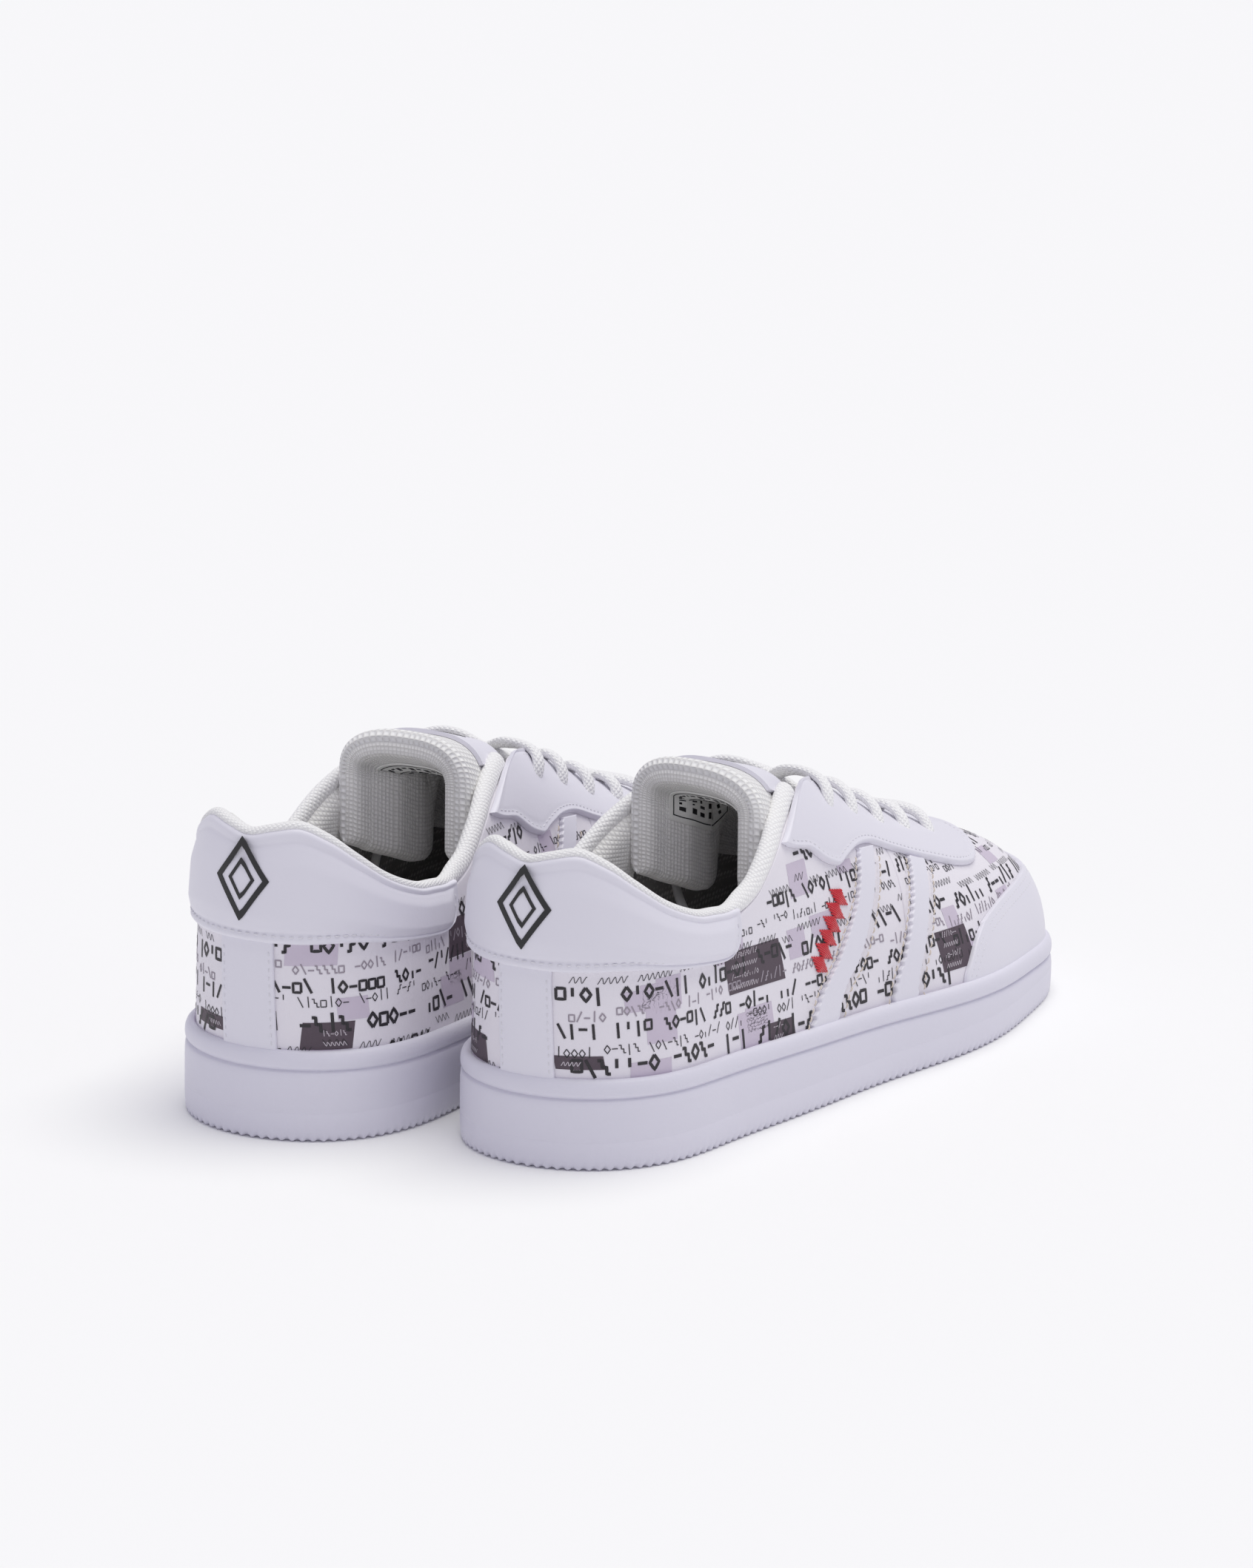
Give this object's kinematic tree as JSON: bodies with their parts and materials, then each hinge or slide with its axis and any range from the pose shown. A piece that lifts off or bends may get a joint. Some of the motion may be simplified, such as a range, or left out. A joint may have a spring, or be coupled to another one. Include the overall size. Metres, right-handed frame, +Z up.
{
  "type": "pair of lace-up cheer trainers",
  "caption": "Pair of low lace-up trainers with flat cupsoles, padded collars and tongues, side stripes and an all-over printed upper.",
  "frame": {"origin": "centre of the pair's bounding box, on the ground", "axes": "+X from heels to toes, +Y towards the left shoe, +Z up; the right shoe is on the -Y side"},
  "size_m": [0.2784, 0.1806, 0.0982],
  "materials": {
    "white_rubber": "satin moulded rubber",
    "midsole_foam": "closed-cell foam",
    "insole_board": "fibre board",
    "insole_textile": "dark dotted mesh",
    "counter_plastic": "stiff sheet",
    "printed_upper": "coated textile with an all-over black, plum and mauve print",
    "lining_textile": "waffle mesh",
    "padding_foam": "open-cell foam",
    "collar_knit": "rolled knit binding",
    "white_synthetic": "smooth satin synthetic leather",
    "black_print": "matte black print",
    "red_thread": "satin embroidery",
    "tongue_mesh": "spacer mesh",
    "label_tape": "woven tape",
    "lace_braid": "braided oval lace",
    "aglet_film": "clear film tip"
  },
  "bodies": {
    "right_shoe": {"right_cupsole": "white_rubber", "right_midsole_wedge": "midsole_foam", "right_insole_board": "insole_board", "right_sockliner": "insole_textile", "right_heel_counter": "counter_plastic", "right_toe_puff": "counter_plastic", "right_quarter_lateral": "printed_upper", "right_quarter_medial": "printed_upper", "right_vamp": "printed_upper", "right_vamp_lining": "lining_textile", "right_collar_lining": "lining_textile", "right_collar_foam": "padding_foam", "right_collar_binding": "collar_knit", "right_heel_patch": "white_synthetic", "right_heel_emblem": "black_print", "right_back_stay": "white_synthetic", "right_lace_facing": "white_synthetic", "right_stripes_lateral": "white_synthetic", "right_stripes_medial": "white_synthetic", "right_toe_cap": "white_synthetic", "right_side_mark": "red_thread", "right_tongue_base": "tongue_mesh", "right_lace": "lace_braid", "right_lace_tails": "lace_braid", "right_aglets": "aglet_film"},
    "right_tongue_top": {"right_tongue_flap": "tongue_mesh", "right_tongue_foam": "padding_foam", "right_tongue_lining": "lining_textile", "right_tongue_patch": "white_synthetic", "right_tongue_label": "label_tape"},
    "left_shoe": {"left_cupsole": "white_rubber", "left_midsole_wedge": "midsole_foam", "left_insole_board": "insole_board", "left_sockliner": "insole_textile", "left_heel_counter": "counter_plastic", "left_toe_puff": "counter_plastic", "left_quarter_lateral": "printed_upper", "left_quarter_medial": "printed_upper", "left_vamp": "printed_upper", "left_vamp_lining": "lining_textile", "left_collar_lining": "lining_textile", "left_collar_foam": "padding_foam", "left_collar_binding": "collar_knit", "left_heel_patch": "white_synthetic", "left_heel_emblem": "black_print", "left_back_stay": "white_synthetic", "left_lace_facing": "white_synthetic", "left_stripes_lateral": "white_synthetic", "left_stripes_medial": "white_synthetic", "left_toe_cap": "white_synthetic", "left_side_mark": "red_thread", "left_tongue_base": "tongue_mesh", "left_lace": "lace_braid", "left_lace_tails": "lace_braid", "left_aglets": "aglet_film"},
    "left_tongue_top": {"left_tongue_flap": "tongue_mesh", "left_tongue_foam": "padding_foam", "left_tongue_lining": "lining_textile", "left_tongue_patch": "white_synthetic", "left_tongue_label": "label_tape"}
  },
  "joints": [
    {"name": "right_tongue_bend", "type": "hinge", "parent": "right_shoe", "child": "right_tongue_top", "pos_m": [-0.00184, -0.0402, 0.089], "axis": [0, 1, 0], "range_deg": [-3, 42], "stiffness_Nm_per_rad": 0.02},
    {"name": "left_shoe_lift", "type": "slide", "parent": "right_shoe", "child": "left_shoe", "axis": [0, 0, 1], "range_m": [0, 0.15]},
    {"name": "left_tongue_bend", "type": "hinge", "parent": "left_shoe", "child": "left_tongue_top", "pos_m": [-0.01914, 0.0402, 0.089], "axis": [0, 1, 0], "range_deg": [-3, 42], "stiffness_Nm_per_rad": 0.02}
  ]
}
